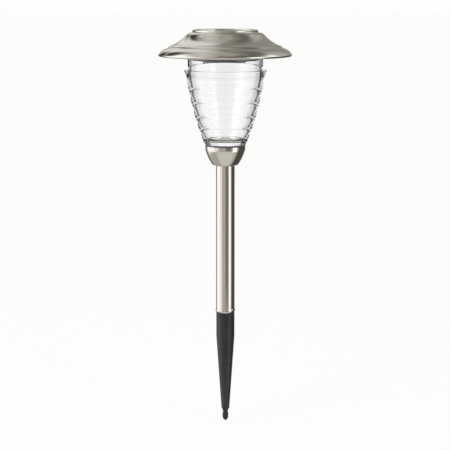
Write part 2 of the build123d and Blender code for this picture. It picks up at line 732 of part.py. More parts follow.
with BuildPart() as capacitor:
    with BuildSketch(Plane.XZ.offset(-CAPACITOR_AT[1])):
        with Locations((CAPACITOR_AT[0], BOARD_TOP_Z + 3.4)):
            Ellipse(1.9, 2.1)
    extrude(amount=0.7, both=True)
    fillet(capacitor.edges(), radius=0.35)
    with BuildSketch(Plane.XY.offset(BOARD_TOP_Z)):
        with Locations(CAPACITOR_AT):
            with GridLocations(2.0, 0, 2, 1):
                Rectangle(0.45, 0.45)
    extrude(amount=2.6)
capacitor.part.label = "capacitor"
export_step(capacitor.part, "parts/capacitor.step")

# ---------------------------------------------------------------- lamp, hanging under the board
LED_LIP_R = 2.9
LED_BASE_Z = LED_SEAT_Z + 1.0
LED_DOME_Z = 250.5

with BuildPart() as led:
    with BuildSketch(Plane.XZ):
        with BuildLine():
            dome = ThreePointArc(
                (0, LED_DOME_Z),
                (LED_R * sin(pi / 4), LED_DOME_Z + LED_R * (1 - cos(pi / 4))),
                (LED_R, LED_DOME_Z + LED_R),
            )
            Polyline(
                dome @ 1,
                (LED_R, LED_SEAT_Z),
                (LED_LIP_R, LED_SEAT_Z),
                (LED_LIP_R, LED_BASE_Z),
                (0, LED_BASE_Z),
                (0, LED_DOME_Z),
            )
        make_face()
    revolve(axis=Axis.Z)
led.part.label = "led"
export_step(led.part, "parts/led.step")

with BuildPart() as led_leads:
    with BuildSketch(Plane.XY.offset(LED_BASE_Z)):
        with Locations((-LEAD_X, 0), (LEAD_X, 0)):
            Rectangle(LEAD_W, LEAD_W)
    extrude(amount=BOARD_TOP_Z + 1.0 - LED_BASE_Z)
led_leads.part.label = "led_leads"
export_step(led_leads.part, "parts/led_leads.step")

# ---------------------------------------------------------------- on-off slide switch
SWITCH_BASE_Z = FLOOR_TOP_Z
SWITCH_H = 4.6
KNOB_W = 2.4
KNOB_TRAVEL = 3.0
KNOB_X = -KNOB_TRAVEL / 2

with BuildPart() as switch_case:
    with BuildSketch(Plane.XY.offset(SWITCH_BASE_Z)):
        with Locations((0, SWITCH_Y)):
            Rectangle(11.0, 5.0)
    extrude(amount=SWITCH_H)
    with BuildSketch(Plane.XY.offset(SWITCH_BASE_Z + 1.6)):
        with Locations((0, SWITCH_Y)):
            SlotCenterToCenter(2 * SWITCH_EAR_X, 3.4)
        with Locations((-SWITCH_EAR_X, SWITCH_Y), (SWITCH_EAR_X, SWITCH_Y)):
            Circle(0.8, mode=Mode.SUBTRACT)
    extrude(amount=0.4)
    with BuildSketch(Plane.XY.offset(SWITCH_BASE_Z)):
        with Locations((0, SWITCH_Y)):
            Rectangle(KNOB_TRAVEL + 3.6, 2.6)
    extrude(amount=2.4, mode=Mode.SUBTRACT)
    with BuildSketch(Plane.XY.offset(SWITCH_BASE_Z + SWITCH_H)):
        with Locations((0, SWITCH_Y)):
            with GridLocations(2.5, 0, 3, 1):
                Rectangle(0.8, 0.4)
    extrude(amount=1.6)
switch_case.part.label = "switch_case"
export_step(switch_case.part, "parts/switch_case.step")

with BuildPart() as switch_screws:
    with BuildSketch(Plane.XY.offset(SWITCH_BASE_Z + 2.0)):
        with Locations((-SWITCH_EAR_X, SWITCH_Y), (SWITCH_EAR_X, SWITCH_Y)):
            Circle(1.4)
    extrude(amount=1.0)
    with BuildSketch(Plane.XY.offset(SWITCH_BASE_Z + 2.0)):
        with Locations((-SWITCH_EAR_X, SWITCH_Y), (SWITCH_EAR_X, SWITCH_Y)):
            Circle(0.7)
    extrude(amount=-2.8)
switch_screws.part.label = "switch_screws"
export_step(switch_screws.part, "parts/switch_screws.step")

with BuildPart() as switch_knob:
    with BuildSketch(Plane.XY.offset(DOOR_Z)):
        with Locations((KNOB_X, SWITCH_Y)):
            Rectangle(KNOB_W, KNOB_W)
    extrude(amount=SWITCH_BASE_Z + 2.1 - DOOR_Z)
    with BuildSketch(Plane.XY.offset(DOOR_Z)):
        with Locations((KNOB_X, SWITCH_Y)):
            with GridLocations(0.9, 0, 2, 1):
                Rectangle(0.35, KNOB_W)
    extrude(amount=0.4, mode=Mode.SUBTRACT)
switch_knob.part.label = "switch_knob"
export_step(switch_knob.part, "parts/switch_knob.step")


# ---------------------------------------------------------------- wires inside the case
def wire(points, bend):
    """A round wire along straight runs that are joined by arcs of one radius."""
    path = FilletPolyline(*points, radius=bend)
    section = Plane(origin=path @ 0, z_dir=path % 0) * Circle(WIRE_R)
    return sweep(section, path=path)


def wire_piece(label, routes, bend):
    """One node of wires that follow the given routes."""
    piece = Part() + [wire(points, bend) for points in routes]
    piece.label = label
    export_step(piece, f"parts/{label}.step")


PAD_Z = BOARD_TOP_Z
TAB_Y = CELL_Y + 4
WIRE_BEND = 2.0
for label, sign in (("panel_wire_red", -1), ("panel_wire_black", 1)):
    x = WIRE_HOLE[0] + 2.0 * sign
    wire_piece(
        label,
        [[(x, 6, PANEL_Z), (x, 6, 272.2), (x, 1.2, 272.2), (x, 1.2, PAD_Z)]],
        WIRE_BEND,
    )
for label, side in (("battery_wire_red", 1), ("battery_wire_black", -1)):
    tab_x = side * (BOX_HALF_L - CONTACT_T / 2)
    pad_x = side * 11.0
    route = [
        (tab_x, TAB_Y + 1.3, TAB_TOP_Z - 0.7),
        (tab_x, 4.0, TAB_TOP_Z - 0.7),
        (pad_x, 4.0, TAB_TOP_Z - 0.7),
        (pad_x, 4.0, PAD_Z),
    ]
    wire_piece(label, [route], WIRE_BEND)
lug_z = SWITCH_BASE_Z + SWITCH_H + 1.6
wire_piece(
    "switch_wires",
    [
        [(x, SWITCH_Y, lug_z), (x, SWITCH_Y, 271.0), (x, 16.2, 271.0), (x, 16.2, PAD_Z)]
        for x in (-2.5, 2.5)
    ],
    WIRE_BEND,
)
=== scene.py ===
import math

import bmesh
import bpy
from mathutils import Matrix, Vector


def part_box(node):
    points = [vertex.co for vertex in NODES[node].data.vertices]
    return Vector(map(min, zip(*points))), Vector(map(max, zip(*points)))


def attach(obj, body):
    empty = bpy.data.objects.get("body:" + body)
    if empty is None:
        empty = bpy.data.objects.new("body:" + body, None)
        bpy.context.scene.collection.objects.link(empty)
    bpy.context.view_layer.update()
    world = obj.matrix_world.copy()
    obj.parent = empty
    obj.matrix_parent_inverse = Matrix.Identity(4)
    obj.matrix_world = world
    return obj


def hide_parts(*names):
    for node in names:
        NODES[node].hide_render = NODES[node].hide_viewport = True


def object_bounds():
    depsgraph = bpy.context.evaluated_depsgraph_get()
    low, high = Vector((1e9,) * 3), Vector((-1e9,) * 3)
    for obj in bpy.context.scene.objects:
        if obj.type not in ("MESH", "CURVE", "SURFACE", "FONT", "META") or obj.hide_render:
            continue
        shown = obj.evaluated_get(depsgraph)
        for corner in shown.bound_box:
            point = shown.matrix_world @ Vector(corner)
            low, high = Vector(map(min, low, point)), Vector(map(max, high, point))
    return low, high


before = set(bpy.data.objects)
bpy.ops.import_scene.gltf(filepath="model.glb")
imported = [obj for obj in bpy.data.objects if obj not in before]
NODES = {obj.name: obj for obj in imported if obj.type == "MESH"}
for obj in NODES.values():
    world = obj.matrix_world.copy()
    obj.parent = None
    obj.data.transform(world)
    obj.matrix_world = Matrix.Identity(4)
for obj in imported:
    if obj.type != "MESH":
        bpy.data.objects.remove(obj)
CAD_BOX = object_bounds()
MM = 0.001

# ---------------------------------------------------------------- sizes read from the frame
HAT_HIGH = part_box("shade")[1]
LENS_LOW, LENS_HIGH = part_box("lens")
CUP_LOW, CUP_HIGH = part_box("base_cup")
POLE_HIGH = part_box("pole")[1]
SPIKE_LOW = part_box("spike")[0]
SHEET = 0.6                         # mm, wall of the hat, the cup and the tube
SEGMENTS = 192                      # facets round a turned piece


# ---------------------------------------------------------------- outlines of turned pieces
class Outline:
    """Points (radius, height) in mm of a turned profile, drawn with lines and arcs."""

    def __init__(self, r, z):
        self.points = [Vector((r, z))]
        self.corners = {}

    def line(self, *stops):
        """Straight runs to the given points."""
        self.points += [Vector(stop) for stop in stops]
        return self

    def sweep_arc(self, centre, end, steps, turn):
        """Adds the arc from the last point to end, turning by the given angle."""
        start = self.points[-1] - centre
        for i in range(1, steps):
            angle = turn * i / steps
            c, s = math.cos(angle), math.sin(angle)
            self.points.append(centre + Vector((start.x * c - start.y * s, start.x * s + start.y * c)))
        self.points.append(end)
        return self

    def arc(self, via, end, steps=16):
        """An arc through via to end."""
        a, b, c = self.points[-1], Vector(via), Vector(end)
        d = 2 * (a.x * (b.y - c.y) + b.x * (c.y - a.y) + c.x * (a.y - b.y))
        x = (a.dot(a) * (b.y - c.y) + b.dot(b) * (c.y - a.y) + c.dot(c) * (a.y - b.y)) / d
        y = (a.dot(a) * (c.x - b.x) + b.dot(b) * (a.x - c.x) + c.dot(c) * (b.x - a.x)) / d
        centre = Vector((x, y))
        turn = math.atan2((c - centre).y, (c - centre).x) - math.atan2((a - centre).y, (a - centre).x)
        clockwise = (b - a).x * (c - b).y - (b - a).y * (c - b).x < 0
        turn %= 2 * math.pi
        if clockwise:
            turn -= 2 * math.pi
        return self.sweep_arc(centre, c, steps, turn)

    def flow(self, r, z, steps=16, heading=None):
        """An arc to (r, z) that leaves the last point along the outline's own direction."""
        a, b = self.points[-1], Vector((r, z))
        along = Vector(heading) if heading else self.heading()
        along.normalize()
        side = Vector((-along.y, along.x))
        chord = b - a
        offset = chord.dot(side)
        if abs(offset) < 1e-9:
            return self.line((r, z))
        radius = chord.dot(chord) / (2 * offset)
        centre = a + side * radius
        turn = 2 * math.atan2(offset, chord.dot(along))
        self.sweep_arc(centre, b, steps, turn)
        self.end_heading = Vector(
            (along.x * math.cos(turn) - along.y * math.sin(turn),
             along.x * math.sin(turn) + along.y * math.cos(turn))
        )
        self.end_point = b
        return self

    def corner(self, radius):
        """Marks the last point as a corner that soften() rounds."""
        self.corners[len(self.points) - 1] = radius
        return self

    def soften(self, steps=6):
        """Rounds each marked corner with an arc that touches both of its sides."""
        for i in sorted(self.corners, reverse=True):
            here, before, after = self.points[i], self.points[i - 1], self.points[i + 1]
            back, on = (before - here).normalized(), (after - here).normalized()
            half = back.angle(on) / 2
            reach = min(self.corners[i] / math.tan(half), 0.9 * (before - here).length)
            start, end = here + back * reach, here + on * reach
            centre = here + (back + on).normalized() * reach / math.cos(half)
            turn = (start - centre).angle_signed(end - centre)
            rounded = Outline(*start).sweep_arc(centre, end, steps, -turn).points
            self.points[i:i + 1] = rounded
        return self

    def heading(self):
        """Direction in which the outline ends."""
        if getattr(self, "end_point", None) is self.points[-1]:
            return self.end_heading.copy()
        return self.points[-1] - self.points[-2]

    def sheet(self, thickness):
        """A closed outline: this line, and its parallel at the given distance on the right."""
        line = self.points
        inner = []
        for i, point in enumerate(line):
            before = (point - line[i - 1]).normalized() if i else None
            after = (line[i + 1] - point).normalized() if i + 1 < len(line) else None
            along = ((before or after) + (after or before)).normalized()
            right = Vector((along.y, -along.x))
            straight = before or after
            reach = thickness / max(0.3, right.dot(Vector((straight.y, -straight.x))))
            inner.append(point + right * reach)
        self.points = line + inner[::-1]
        return self


def lathe(name, outline, body, material, replaces=None, sharp=35, segments=SEGMENTS):
    """A closed turned piece from an outline in mm, smooth except at corners over sharp degrees."""
    mesh = bpy.data.meshes.new(name)
    bm = bmesh.new()
    rings = []
    for point in outline.points:
        if point.x < 1e-6:
            rings.append([bm.verts.new((0, 0, point.y * MM))])
            continue
        ring = []
        for i in range(segments):
            angle = 2 * math.pi * i / segments
            ring.append(
                bm.verts.new((point.x * MM * math.cos(angle), point.x * MM * math.sin(angle), point.y * MM))
            )
        rings.append(ring)
    for low, high in zip(rings, rings[1:] + rings[:1]):
        if len(low) == 1 and len(high) == 1:
            continue
        for i in range(segments):
            j = (i + 1) % segments
            corners = [low[i % len(low)], low[j % len(low)], high[j % len(high)], high[i % len(high)]]
            bm.faces.new(list(dict.fromkeys(corners)))
    bmesh.ops.recalc_face_normals(bm, faces=bm.faces)
    bm.to_mesh(mesh)
    bm.free()
    return finish_piece(name, mesh, body, material, replaces, sharp)


def slab(name, xs, ys, floor, top, body, material, replaces=None):
    """A plate in mm over the grid xs by ys, whose underside in cell (i, j) lies at floor(i, j)."""
    mesh = bpy.data.meshes.new(name)
    bm = bmesh.new()
    made = {}

    def face(*corners):
        for corner in corners:
            if corner not in made:
                made[corner] = bm.verts.new([MM * c for c in corner])
        bm.faces.new([made[corner] for corner in corners])

    cells = {(i, j): floor(i, j) for i in range(len(xs) - 1) for j in range(len(ys) - 1)}
    for (i, j), low in cells.items():
        (x0, x1), (y0, y1) = xs[i:i + 2], ys[j:j + 2]
        face((x0, y0, top), (x1, y0, top), (x1, y1, top), (x0, y1, top))
        face((x0, y0, low), (x0, y1, low), (x1, y1, low), (x1, y0, low))
        walls = (((i + 1, j), (x1, y0), (x1, y1)), ((i, j + 1), (x0, y1), (x1, y1)),
                 ((i - 1, j), (x0, y0), (x0, y1)), ((i, j - 1), (x0, y0), (x1, y0)))
        for neighbour, a, b in walls:
            level = cells.get(neighbour, top)
            if level > low:
                face((*a, low), (*b, low), (*b, level), (*a, level))
    bmesh.ops.recalc_face_normals(bm, faces=bm.faces)
    bm.to_mesh(mesh)
    bm.free()
    return finish_piece(name, mesh, body, material, replaces)


def bars(name, boxes, body, material):
    """One piece of many small blocks, each (x, y, z) low and high in mm."""
    mesh = bpy.data.meshes.new(name)
    bm = bmesh.new()
    for low, high in boxes:
        made = bmesh.ops.create_cube(bm, size=1)["verts"]
        for vert in made:
            vert.co = [MM * (a + (b - a) * (c + 0.5)) for a, b, c in zip(low, high, vert.co)]
    bm.to_mesh(mesh)
    bm.free()
    return finish_piece(name, mesh, body, material)


def finish_piece(name, mesh, body, material, replaces=None, sharp=35):
    """Links a mesh as a piece on a body, with its material and shading."""
    mesh.shade_smooth()
    mesh.set_sharp_from_angle(angle=math.radians(sharp))
    mesh.materials.append(material)
    piece = bpy.data.objects.new(name, mesh)
    bpy.context.scene.collection.objects.link(piece)
    if replaces:
        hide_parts(replaces)
    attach(piece, body)
    return piece


# ---------------------------------------------------------------- node helpers for materials
class Surface:
    """A material around one Principled shader, with short calls to add what drives it."""

    def __init__(self, name, colour=(0.5, 0.5, 0.5), **sockets):
        self.material = bpy.data.materials.new(name)
        self.material.use_nodes = True
        self.tree = self.material.node_tree
        self.shader = self.tree.nodes["Principled BSDF"]
        self.output = self.tree.nodes["Material Output"]
        self.shader.inputs["Base Color"].default_value = (*colour, 1)
        for key, value in sockets.items():
            self.shader.inputs[key.replace("_", " ").title().replace("Ior", "IOR")].default_value = value

    def add(self, kind, inputs=None, **settings):
        """A node of the given kind, with its settings and with values or links on its inputs."""
        node = self.tree.nodes.new(kind)
        for key, value in settings.items():
            setattr(node, key, value)
        for key, value in (inputs or {}).items():
            if isinstance(value, bpy.types.NodeSocket):
                self.tree.links.new(value, node.inputs[key])
            else:
                node.inputs[key].default_value = value
        return node

    def drive(self, socket, value):
        """Links a value to one of the shader's inputs."""
        self.tree.links.new(value, self.shader.inputs[socket])
        return self

    def place(self, scale=(1, 1, 1)):
        """Object coordinates in metres, stretched."""
        where = self.add("ShaderNodeTexCoord").outputs["Object"]
        return self.add("ShaderNodeMapping", {"Vector": where, "Scale": scale}).outputs[0]

    def round_place(self):
        """Coordinates (radius, 0, height), so that a pattern runs round the axis."""
        parts = self.add("ShaderNodeSeparateXYZ", {0: self.add("ShaderNodeTexCoord").outputs["Object"]})
        x2 = self.math("MULTIPLY", parts.outputs[0], parts.outputs[0])
        y2 = self.math("MULTIPLY", parts.outputs[1], parts.outputs[1])
        radius = self.math("SQRT", self.math("ADD", x2, y2))
        return self.add("ShaderNodeCombineXYZ", {0: radius, 2: parts.outputs[2]}).outputs[0]

    def math(self, operation, a, b=0.0):
        """A Math node's result."""
        return self.add("ShaderNodeMath", {0: a, 1: b}, operation=operation).outputs[0]

    def noise(self, where, scale, detail=2.0, roughness=0.5):
        """Noise at the given scale, per metre."""
        inputs = {"Vector": where, "Scale": scale, "Detail": detail, "Roughness": roughness}
        return self.add("ShaderNodeTexNoise", inputs).outputs[0]

    def cells(self, where, scale, output="Color", feature="F1"):
        """Voronoi cells at the given scale, per metre."""
        inputs = {"Vector": where, "Scale": scale}
        return self.add("ShaderNodeTexVoronoi", inputs, feature=feature).outputs[output]

    def span(self, value, low, high, start=0.0, end=1.0):
        """value mapped from start..end to low..high, clamped."""
        inputs = {"Value": value, "From Min": start, "From Max": end, "To Min": low, "To Max": high}
        return self.add("ShaderNodeMapRange", inputs).outputs[0]

    def blend(self, factor, a, b):
        """Colour a where factor is 0 and b where it is 1."""
        mix = self.add("ShaderNodeMix", {0: factor}, data_type="RGBA")
        for socket, colour in ((mix.inputs[6], a), (mix.inputs[7], b)):
            if isinstance(colour, bpy.types.NodeSocket):
                self.tree.links.new(colour, socket)
            else:
                socket.default_value = (*colour, 1)
        return mix.outputs[2]

    def bump(self, height, depth, strength=1.0, normal=None):
        """A normal from a height of 0..1, depth metres deep."""
        inputs = {"Height": height, "Distance": depth, "Strength": strength}
        if normal:
            inputs["Normal"] = normal
        return self.add("ShaderNodeBump", inputs).outputs[0]


# ---------------------------------------------------------------- metals
def steel(name, colour, rough, lines, anisotropic):
    """Stainless steel with fine lines round its axis, faint clouding and handling marks."""
    s = Surface(name, colour, metallic=1.0, roughness=rough, anisotropic=anisotropic)
    s.drive("Tangent", s.add("ShaderNodeTangent", direction_type="RADIAL", axis="Z").outputs[0])
    fine = s.noise(s.round_place(), lines, 3.0, 0.6)
    clouds = s.noise(s.place(), 60, 4.0, 0.6)
    marks = s.noise(s.place((1, 1, 0.25)), 900, 2.0)
    darker, lighter, cloudy = ([share * c for c in colour] for share in (0.93, 1.05, 0.86))
    tone = s.blend(s.span(fine, 0, 1, 0.35, 0.65), darker, lighter)
    tone = s.blend(s.span(clouds, 0, 0.25, 0.5, 0.75), tone, cloudy)
    s.drive("Base Color", tone)
    uneven = s.math("ADD", s.span(clouds, -0.02, 0.03, 0.35, 0.7), s.span(marks, 0, 0.04, 0.62, 0.75))
    s.drive("Roughness", s.math("ADD", uneven, rough))
    s.drive("Normal", s.bump(fine, 0.000002, 0.6))
    return s.material


def plated(name, colour, rough):
    """Small plated metal parts, with a slightly dull, cloudy skin."""
    s = Surface(name, colour, metallic=1.0, roughness=rough)
    clouds = s.noise(s.place(), 700, 3.0)
    s.drive("Roughness", s.span(clouds, rough - 0.08, rough + 0.12, 0.3, 0.7))
    s.drive("Base Color", s.blend(s.span(clouds, 0, 1, 0.35, 0.7), colour, [0.8 * c for c in colour]))
    s.drive("Normal", s.bump(s.noise(s.place(), 5000), 0.000004, 0.5))
    return s.material


# ---------------------------------------------------------------- plastics, rubber, coated parts
def plastic(name, colour, rough, grain=3500, depth=0.000012, dust=0.04):
    """Moulded plastic: spark-eroded grain, uneven gloss and a little dust in its texture."""
    s = Surface(name, colour, roughness=rough, ior=1.48)
    texture = s.noise(s.place(), grain, 3.0, 0.6)
    patches = s.noise(s.place(), 90, 4.0, 0.55)
    s.drive("Roughness", s.math("ADD", s.span(patches, -0.06, 0.07, 0.3, 0.7), rough))
    pale = [min(1, c * 1.8 + dust) for c in colour]
    s.drive("Base Color", s.blend(s.span(patches, 0, 0.35, 0.45, 0.8), colour, pale))
    s.drive("Normal", s.bump(texture, depth, 0.5))
    return s.material


def rubber(name, colour):
    """Matt rubber with a sheen and fine pores."""
    s = Surface(name, colour, roughness=0.62, sheen_weight=0.15)
    pores = s.noise(s.place(), 4200, 2.0)
    s.drive("Normal", s.bump(pores, 0.00002, 0.6))
    s.drive("Base Color", s.blend(s.noise(s.place(), 200, 3.0), colour, [1.5 * c + 0.01 for c in colour]))
    return s.material


def clear(name, tint, rough=0.0, ior=1.5, ripple=0.00001, scale=90):
    """Clear glass or resin, gently rippled, that lets lamps through to what is behind it."""
    s = Surface(name, tint, roughness=rough, ior=ior, transmission_weight=1.0)
    s.drive("Normal", s.bump(s.noise(s.place(), scale, 2.0), ripple, 1.0))
    path = s.add("ShaderNodeLightPath")
    lamps = s.math("MAXIMUM", path.outputs["Is Shadow Ray"], path.outputs["Is Diffuse Ray"])
    open_way = s.add("ShaderNodeBsdfTransparent", {"Color": (*tint, 1)}).outputs[0]
    mixed = s.add("ShaderNodeMixShader", {0: lamps, 1: s.shader.outputs[0], 2: open_way}).outputs[0]
    s.tree.links.new(mixed, s.output.inputs["Surface"])
    return s.material


def silicon():
    """Blue polycrystalline silicon: flat crystals of differing tone with a violet cast."""
    s = Surface("silicon", (0.02, 0.03, 0.10), roughness=0.28, coat_weight=0.4)
    grains = s.cells(s.place(), 420)
    shade = s.add("ShaderNodeSeparateColor", {0: grains}).outputs[0]
    tone = s.blend(shade, (0.012, 0.018, 0.075), (0.045, 0.075, 0.23))
    s.drive("Base Color", tone)
    s.drive("Roughness", s.span(shade, 0.2, 0.42))
    return s.material


def solder_mask():
    """Green solder mask with copper tracks showing as raised, lighter lines."""
    s = Surface("solder_mask", (0.012, 0.12, 0.045), roughness=0.35, coat_weight=0.3)
    tracks = s.cells(s.place(), 260, "Distance", "DISTANCE_TO_EDGE")
    line = s.span(tracks, 1, 0, 0.05, 0.09)
    s.drive("Base Color", s.blend(line, (0.012, 0.12, 0.045), (0.05, 0.26, 0.09)))
    s.drive("Normal", s.bump(line, 0.00003, 0.6))
    return s.material


BAND_X = 7.0 * MM                   # where the cell sleeve's two bands meet
CAP_RIM, FOOT_RIM = 1.35 * MM, 0.1 * MM     # how far the bare ends reach along the cell
BARE_R = 5.2 * MM


def sleeve():
    """Shrink-wrapped cell sleeve in two plain bands, creased, with bare metal at both ends."""
    s = Surface("cell_sleeve", (0.02, 0.20, 0.10), roughness=0.3, coat_weight=0.5)
    low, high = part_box("battery")
    parts = s.add("ShaderNodeSeparateXYZ", {0: s.add("ShaderNodeTexCoord").outputs["Object"]}).outputs
    band = s.math("GREATER_THAN", parts[0], BAND_X)
    wrap = s.blend(band, (0.015, 0.16, 0.075), (0.55, 0.57, 0.56))
    across = s.math("SUBTRACT", parts[1], (low.y + high.y) / 2)
    up = s.math("SUBTRACT", parts[2], (low.z + high.z) / 2)
    radius = s.math("SQRT", s.math("ADD", s.math("MULTIPLY", across, across), s.math("MULTIPLY", up, up)))
    tips = s.math("MAXIMUM", s.math("GREATER_THAN", parts[0], high.x - CAP_RIM),
                  s.math("LESS_THAN", parts[0], low.x + FOOT_RIM))
    bare = s.math("MULTIPLY", tips, s.math("LESS_THAN", radius, BARE_R))
    s.drive("Base Color", s.blend(bare, wrap, (0.66, 0.65, 0.62)))
    s.drive("Metallic", bare)
    creases = s.noise(s.place((6, 1, 1)), 260, 3.0)
    s.drive("Normal", s.bump(creases, 0.00004, 0.5))
    return s.material


def insulated(name, colour):
    """Wire insulation: soft PVC with faint lengthwise drawing lines."""
    s = Surface(name, colour, roughness=0.38, ior=1.5)
    s.drive("Roughness", s.span(s.noise(s.place(), 500, 2.0), 0.3, 0.5))
    s.drive("Normal", s.bump(s.noise(s.place(), 6000, 1.0), 0.00001, 0.5))
    return s.material


HAT_STEEL = steel("hat_steel", (0.66, 0.645, 0.625), 0.03, 2600, 0.0)
CUP_STEEL = steel("cup_steel", (0.66, 0.64, 0.61), 0.03, 2600, 0.0)
TUBE_STEEL = steel("tube_steel", (0.66, 0.64, 0.61), 0.07, 2200, 0.2)
LENS_GLASS = clear("lens_glass", (0.985, 0.985, 0.99))
RESIN = clear("panel_resin", (0.93, 0.94, 0.96), 0.05, 1.52, 0.00002, 400)
LED_EPOXY = clear("led_epoxy", (0.97, 0.97, 0.95), 0.05, 1.52, 0.000005, 900)
BLACK = plastic("black_plastic", (0.018, 0.018, 0.02), 0.42)
BEZEL = plastic("bezel_plastic", (0.016, 0.016, 0.018), 0.25, 2500, 0.000006)
SPIKE_PLASTIC = plastic("spike_plastic", (0.012, 0.012, 0.0135), 0.42, 2800, 0.00001)
KNOB = plastic("knob_plastic", (0.03, 0.03, 0.032), 0.4)
CHIP = plastic("chip_epoxy", (0.02, 0.02, 0.02), 0.5, 6000)
FERRITE = plastic("ferrite", (0.035, 0.035, 0.036), 0.55, 3000, 0.00003)
CERAMIC = plastic("ceramic_disc", (0.45, 0.24, 0.06), 0.3, 2500)
PHOSPHOR = plastic("phosphor", (0.80, 0.62, 0.10), 0.6, 9000)
RUBBER = rubber("gasket_rubber", (0.035, 0.035, 0.035))
SILICONE = rubber("seal_silicone", (0.24, 0.24, 0.25))
BOND = rubber("bond_clear", (0.72, 0.67, 0.56))
ZINC = plated("screw_steel", (0.62, 0.62, 0.60), 0.3)
NICKEL = plated("nickel", (0.72, 0.70, 0.66), 0.22)
TINNED = plated("tinned_wire", (0.70, 0.70, 0.68), 0.3)
SILICON = silicon()
MASK = solder_mask()
BACKBOARD = plastic("panel_board", (0.02, 0.03, 0.07), 0.35, 2500)
SLEEVE = sleeve()
RED = insulated("wire_red", (0.42, 0.02, 0.015))
DARK = insulated("wire_black", (0.018, 0.018, 0.018))

# ---------------------------------------------------------------- CAD nodes that stay
KEPT = {
    "pole_socket": BLACK, "panel_bezel": BEZEL, "panel_gasket": RUBBER, "panel_tray": BLACK,
    "solar_backboard": BACKBOARD, "solar_cells": SILICON, "case": BLACK, "case_screws": ZINC,
    "seal_ring": SILICONE, "battery_door": BLACK, "hinge_pin": NICKEL, "battery_contact": NICKEL,
    "spring_plate": NICKEL, "battery_spring": NICKEL, "circuit_board": MASK, "board_screws": ZINC,
    "inductor": FERRITE, "driver_chip": CHIP, "capacitor": CERAMIC, "led_leads": TINNED,
    "switch_case": BLACK, "switch_screws": ZINC, "switch_knob": KNOB, "switch_wires": DARK,
    "panel_wire_red": RED, "panel_wire_black": DARK, "battery_wire_red": RED,
    "battery_wire_black": DARK, "battery": SLEEVE, "led": LED_EPOXY, "lens_bond": BOND,
    "cup_gasket": RUBBER, "panel_cover": RESIN,
}
for node_name, kept_material in KEPT.items():
    NODES[node_name].data.materials.clear()
    NODES[node_name].data.materials.append(kept_material)

# ---------------------------------------------------------------- the steel hat
HAT_TOP = HAT_HIGH.z / MM           # crest of the bead; the other heights are drops below it
LEDGE_R, LEDGE_DROP = 28.6, 4.9
WELL_R = 30.1
WELL_CORNER = 0.6
BEAD_R = 1.35
HAT_ROOT = (33.9, 2.55)                 # radius and drop, as in those below
HAT_SHOULDER = (38.8, 5.0)
HAT_FLARE = (53.4, 14.7)
HAT_EDGE = (56.2, 16.45)
HAT_STEP = (57.5, 17.25)
HAT_BAND = (66.5, 23.8)
HAT_ROLL = (64.9, 26.0)
HAT_LIP = (63.7, 25.1)


def hat_outline():
    """The hat's upper side from the ledge in the well out to the rolled edge."""
    ledge = HAT_TOP - LEDGE_DROP
    bead_foot = HAT_TOP - BEAD_R
    line = Outline(LEDGE_R, ledge).line((WELL_R - WELL_CORNER, ledge))
    line.flow(WELL_R, ledge + WELL_CORNER, 8).line((WELL_R, bead_foot))
    line.flow(WELL_R + 2 * BEAD_R, bead_foot, 24)
    stops = (
        (HAT_ROOT, 10), (HAT_SHOULDER, 16), (HAT_FLARE, 32), (HAT_EDGE, 12),
        (HAT_STEP, 8), (HAT_BAND, 32), (HAT_ROLL, 16), (HAT_LIP, 6),
    )
    for (r, drop), steps in stops:
        line.flow(r, HAT_TOP - drop, steps)
    return line.sheet(SHEET)


lathe("hat", hat_outline(), "top", HAT_STEEL, "shade", 50)

# ---------------------------------------------------------------- solar panel
PANEL_LOW, PANEL_HIGH = (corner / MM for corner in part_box("panel_cover"))
CELLS_LOW, CELLS_HIGH = (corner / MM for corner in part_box("solar_cells"))
STRIPS = 4
STRIP_GAP = 0.5
BUS_HALF, BUS_GAP = 0.35, 0.3       # the wide printed lines, and their distance from the ends
FINGER_HALF, FINGER_GAP, FINGER_FROM = 0.06, 0.4, 1.1
STRIP_W = (CELLS_HIGH.x - CELLS_LOW.x - (STRIPS - 1) * STRIP_GAP) / STRIPS
FINGERS = 15                        # thin silver lines across each strip
PRINT_H = 0.05                      # height of the printed silver lines
AIR = 0.02


def panel_pieces():
    """The clear cover, and the silver lines on the four strips of silicon under it."""
    starts = [CELLS_LOW.x + i * (STRIP_W + STRIP_GAP) for i in range(STRIPS)]
    edges = [edge for start in starts for edge in (start, start + STRIP_W)]
    roof = CELLS_HIGH.z + PRINT_H + AIR

    def floor(i, j):
        return roof if j == 1 and i % 2 else PANEL_LOW.z

    slab(
        "clear_cover", [PANEL_LOW.x, *edges, PANEL_HIGH.x],
        [PANEL_LOW.y, CELLS_LOW.y, CELLS_HIGH.y, PANEL_HIGH.y],
        floor, PANEL_HIGH.z, "top", RESIN, "panel_cover",
    )
    lines = []
    finger_run = CELLS_HIGH.y - CELLS_LOW.y - 2 * FINGER_FROM
    for start in starts:
        for share in (0.25, 0.75):
            x = start + share * STRIP_W
            lines.append(((x - BUS_HALF, CELLS_LOW.y + BUS_GAP), (x + BUS_HALF, CELLS_HIGH.y - BUS_GAP)))
        for i in range(FINGERS):
            y = CELLS_LOW.y + FINGER_FROM + finger_run * i / (FINGERS - 1)
            left, right = start + FINGER_GAP, start + STRIP_W - FINGER_GAP
            lines.append(((left, y - FINGER_HALF), (right, y + FINGER_HALF)))
    base = CELLS_HIGH.z
    bars("cell_grid", [((*low, base), (*high, base + PRINT_H)) for low, high in lines],
         "top", TINNED)


panel_pieces()

